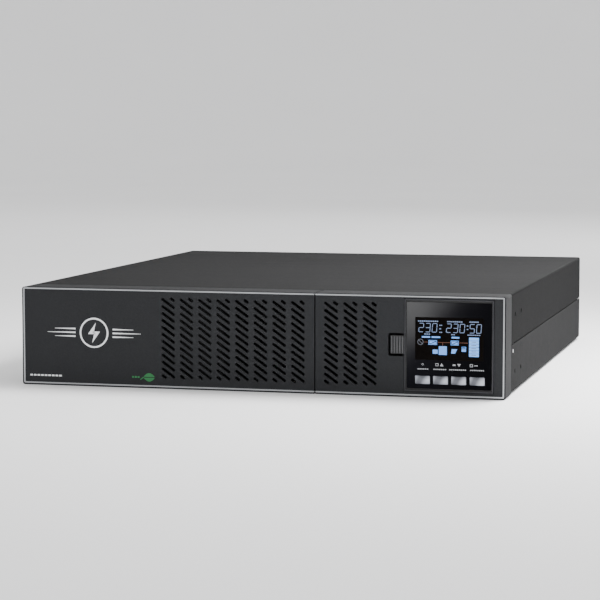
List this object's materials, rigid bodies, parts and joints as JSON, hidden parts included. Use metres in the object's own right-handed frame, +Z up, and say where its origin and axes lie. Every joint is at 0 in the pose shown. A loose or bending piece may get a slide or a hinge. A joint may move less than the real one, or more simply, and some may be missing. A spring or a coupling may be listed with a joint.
{
  "type": "uninterruptible power supply",
  "caption": "Low, wide double-conversion power backup unit for a rack or a tower stand, with slotted front, pull-out display, removable battery cover and sliding battery tray.",
  "frame": {"origin": "centre of the footprint at the lowest point of the pads", "axes": "+X to the user's right when facing the front, +Y from front to back, +Z up"},
  "size_m": [0.438, 0.51, 0.088],
  "materials": {
    "case_paint": "fine-textured black powder coat",
    "zinc_sheet": "zinc-plated sheet",
    "front_plastic": "fine-grained charcoal moulding",
    "silver_trim": "satin silver paint",
    "gloss_black": "polished black",
    "key_metal": "satin metallised",
    "dark_plastic": "satin black",
    "lcd": "backlit liquid-crystal cell",
    "board_green": "solder mask over glass fibre",
    "board_dark": "dark solder mask",
    "bright_steel": "plated steel",
    "rubber": "matt",
    "battery_case": "black ABS",
    "brass_tin": "tinned brass",
    "lead_red": "red cable sleeve",
    "lead_black": "black cable sleeve",
    "film": "translucent insulating film",
    "bare_aluminium": "plain extrusion",
    "chip": "moulded epoxy",
    "can": "shrink-sleeved can",
    "copper": "enamelled copper",
    "ferrite": "sintered ferrite",
    "relay": "blue housing",
    "film_cap": "yellow box",
    "fan_black": "glass-filled black"
  },
  "bodies": {
    "chassis": {"base_tray": "case_paint", "top_cover": "case_paint", "rear_panel": "case_paint", "front_plate": "case_paint", "partition_wall": "zinc_sheet", "bay_rails": "dark_plastic", "foot_pads": "rubber", "ear_nuts": "bright_steel", "case_screws": "bright_steel", "bezel_rim": "front_plastic", "bezel_face": "front_plastic", "bezel_trim": "silver_trim", "bay_socket": "dark_plastic", "main_board": "board_green", "board_standoffs": "brass_tin", "insulator_sheet": "film", "heatsinks": "bare_aluminium", "transistors": "chip", "capacitors": "can", "inductors": "copper", "transformer": "ferrite", "transformer_winding": "copper", "relays": "relay", "film_caps": "film_cap", "control_board": "board_dark", "control_chips": "chip", "fan_frames": "fan_black", "rear_screws": "bright_steel", "ac_inlet": "dark_plastic", "inlet_pins": "bright_steel", "outlet_banks": "dark_plastic", "breaker_body": "dark_plastic", "comm_ports": "dark_plastic", "blank_plates": "case_paint", "ground_stud": "brass_tin", "harness": "lead_black"},
    "battery_cover": {"cover_rim": "front_plastic", "cover_face": "front_plastic", "cover_trim": "silver_trim", "cover_clips": "dark_plastic"},
    "battery_pack": {"battery_tray": "zinc_sheet", "batteries": "battery_case", "battery_terminals": "brass_tin", "battery_links": "lead_red", "tray_handle": "dark_plastic", "tray_screws": "bright_steel", "tray_plug": "dark_plastic"},
    "display": {"lcd_housing": "dark_plastic", "lcd_window": "gloss_black", "lcd_glass": "lcd", "lcd_board": "board_green", "lcd_switches": "chip"},
    "key_body_1": {"key_1": "key_metal"},
    "key_body_2": {"key_2": "key_metal"},
    "key_body_3": {"key_3": "key_metal"},
    "key_body_4": {"key_4": "key_metal"},
    "latch": {"lcd_latch": "front_plastic"},
    "fan_wheel_1": {"fan_rotor_1": "fan_black"},
    "fan_wheel_2": {"fan_rotor_2": "fan_black"},
    "breaker_plunger": {"breaker_button": "lead_red"}
  },
  "joints": [
    {"name": "cover_pull", "type": "slide", "parent": "chassis", "child": "battery_cover", "axis": [0, -1, 0], "range_m": [0, 0.33]},
    {"name": "pack_slide", "type": "slide", "parent": "chassis", "child": "battery_pack", "axis": [0, -1, 0], "range_m": [0, 0.297]},
    {"name": "display_pull", "type": "slide", "parent": "chassis", "child": "display", "axis": [0, -1, 0], "range_m": [0, 0.028]},
    {"name": "latch_slide", "type": "slide", "parent": "chassis", "child": "latch", "axis": [-1, 0, 0], "range_m": [0, 0.0015], "stiffness_N_per_m": 1200},
    {"name": "breaker_pop", "type": "slide", "parent": "chassis", "child": "breaker_plunger", "axis": [0, 1, 0], "range_m": [0, 0.003]},
    {"name": "key_1_press", "type": "slide", "parent": "display", "child": "key_body_1", "axis": [0, 1, 0], "range_m": [0, 0.001], "stiffness_N_per_m": 800},
    {"name": "key_2_press", "type": "slide", "parent": "display", "child": "key_body_2", "axis": [0, 1, 0], "range_m": [0, 0.001], "stiffness_N_per_m": 800},
    {"name": "key_3_press", "type": "slide", "parent": "display", "child": "key_body_3", "axis": [0, 1, 0], "range_m": [0, 0.001], "stiffness_N_per_m": 800},
    {"name": "key_4_press", "type": "slide", "parent": "display", "child": "key_body_4", "axis": [0, 1, 0], "range_m": [0, 0.001], "stiffness_N_per_m": 800},
    {"name": "fan_1_spin", "type": "hinge", "parent": "chassis", "child": "fan_wheel_1", "pos_m": [0.088, 0.23, 0.04475], "axis": [0, 1, 0], "continuous": true},
    {"name": "fan_2_spin", "type": "hinge", "parent": "chassis", "child": "fan_wheel_2", "pos_m": [0.172, 0.23, 0.04475], "axis": [0, 1, 0], "continuous": true}
  ],
  "couplings": [
    {"joint": "pack_slide", "follows": "cover_pull", "ratio": 0.9}
  ]
}
